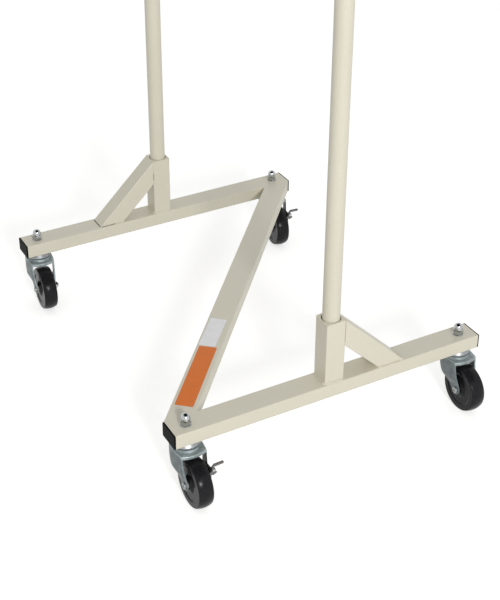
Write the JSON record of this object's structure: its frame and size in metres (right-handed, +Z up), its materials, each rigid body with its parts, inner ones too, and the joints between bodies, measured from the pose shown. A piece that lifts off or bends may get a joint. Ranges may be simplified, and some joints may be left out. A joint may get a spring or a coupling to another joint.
{
  "type": "rolling garment rack",
  "caption": "Rolling Z-base rack: a welded tube base on swivel casters holds two uprights joined by a hang rail, with pressed-down side brakes on opposite corners.",
  "frame": {"origin": "on the floor, under the middle of the whole rack's bounding box with its casters as stored", "axes": "+X along the base's rails, from the near rail's left end to its right end; +Y from the near rail to the far rail; +Z up"},
  "size_m": [0.6756, 0.8646, 1.403],
  "materials": {
    "frame_paint": "beige powder coat, satin",
    "zinc_plate": "grey zinc-plated pressed steel",
    "bright_zinc": "bright zinc plate",
    "hard_rubber": "black hard rubber, slight sheen",
    "black_plastic": "black moulded plastic",
    "grey_nylon": "grey nylon"
  },
  "bodies": {
    "base": {"diagonal_brace": "frame_paint", "near_rail": "frame_paint", "near_post": "frame_paint", "near_gusset": "frame_paint", "near_rail_caps": "black_plastic", "far_rail": "frame_paint", "far_post": "frame_paint", "far_gusset": "frame_paint", "far_rail_caps": "black_plastic", "dome_nuts": "bright_zinc", "nut_washers": "bright_zinc", "near_left_upper_race": "bright_zinc", "near_left_stem": "bright_zinc", "near_right_upper_race": "bright_zinc", "near_right_stem": "bright_zinc", "far_left_upper_race": "bright_zinc", "far_left_stem": "bright_zinc", "far_right_upper_race": "bright_zinc", "far_right_stem": "bright_zinc"},
    "upper_frame": {"near_upright": "frame_paint", "far_upright": "frame_paint", "upright_caps": "black_plastic", "hang_rail": "frame_paint", "hang_rail_inserts": "grey_nylon", "hang_rail_bolts": "bright_zinc"},
    "near_left_swivel": {"near_left_fork": "zinc_plate", "near_left_race_balls": "bright_zinc", "near_left_hub_bush": "grey_nylon", "near_left_axle_bolt": "bright_zinc", "near_left_axle_nut": "bright_zinc", "near_left_brake_pin": "bright_zinc"},
    "near_left_wheel": {"near_left_wheel": "hard_rubber"},
    "near_left_brake": {"near_left_brake_lever": "zinc_plate"},
    "near_right_swivel": {"near_right_fork": "zinc_plate", "near_right_race_balls": "bright_zinc", "near_right_hub_bush": "grey_nylon", "near_right_axle_bolt": "bright_zinc", "near_right_axle_nut": "bright_zinc"},
    "near_right_wheel": {"near_right_wheel": "hard_rubber"},
    "far_left_swivel": {"far_left_fork": "zinc_plate", "far_left_race_balls": "bright_zinc", "far_left_hub_bush": "grey_nylon", "far_left_axle_bolt": "bright_zinc", "far_left_axle_nut": "bright_zinc"},
    "far_left_wheel": {"far_left_wheel": "hard_rubber"},
    "far_right_swivel": {"far_right_fork": "zinc_plate", "far_right_race_balls": "bright_zinc", "far_right_hub_bush": "grey_nylon", "far_right_axle_bolt": "bright_zinc", "far_right_axle_nut": "bright_zinc", "far_right_brake_pin": "bright_zinc"},
    "far_right_wheel": {"far_right_wheel": "hard_rubber"},
    "far_right_brake": {"far_right_brake_lever": "zinc_plate"}
  },
  "joints": [
    {"name": "upper_frame_lift", "type": "slide", "parent": "base", "child": "upper_frame", "axis": [0, 0, 1], "range_m": [0, 0.12]},
    {"name": "near_left_swivel_turn", "type": "hinge", "parent": "base", "child": "near_left_swivel", "pos_m": [-0.30333, -0.34675, 0.126], "axis": [0, 0, 1], "continuous": true},
    {"name": "near_left_wheel_roll", "type": "hinge", "parent": "near_left_swivel", "child": "near_left_wheel", "pos_m": [-0.30333, -0.38325, 0.049], "axis": [1, 0, 0], "continuous": true},
    {"name": "near_left_brake_press", "type": "hinge", "parent": "near_left_swivel", "child": "near_left_brake", "pos_m": [-0.27743, -0.40275, 0.083], "axis": [0, 1, 0], "range_deg": [0, 11]},
    {"name": "near_right_swivel_turn", "type": "hinge", "parent": "base", "child": "near_right_swivel", "pos_m": [0.29967, -0.34675, 0.126], "axis": [0, 0, 1], "continuous": true},
    {"name": "near_right_wheel_roll", "type": "hinge", "parent": "near_right_swivel", "child": "near_right_wheel", "pos_m": [0.29967, -0.38325, 0.049], "axis": [1, 0, 0], "continuous": true},
    {"name": "far_left_swivel_turn", "type": "hinge", "parent": "base", "child": "far_left_swivel", "pos_m": [-0.30333, 0.40125, 0.126], "axis": [0, 0, 1], "continuous": true},
    {"name": "far_left_wheel_roll", "type": "hinge", "parent": "far_left_swivel", "child": "far_left_wheel", "pos_m": [-0.30587, 0.36484, 0.049], "axis": [0.9976, -0.0698, 0], "continuous": true},
    {"name": "far_right_swivel_turn", "type": "hinge", "parent": "base", "child": "far_right_swivel", "pos_m": [0.29967, 0.40125, 0.126], "axis": [0, 0, 1], "continuous": true},
    {"name": "far_right_wheel_roll", "type": "hinge", "parent": "far_right_swivel", "child": "far_right_wheel", "pos_m": [0.29459, 0.3651, 0.049], "axis": [0.9903, -0.1392, 0], "continuous": true},
    {"name": "far_right_brake_press", "type": "hinge", "parent": "far_right_swivel", "child": "far_right_brake", "pos_m": [0.31753, 0.34219, 0.083], "axis": [0.1392, 0.9903, 0], "range_deg": [0, 11]}
  ]
}
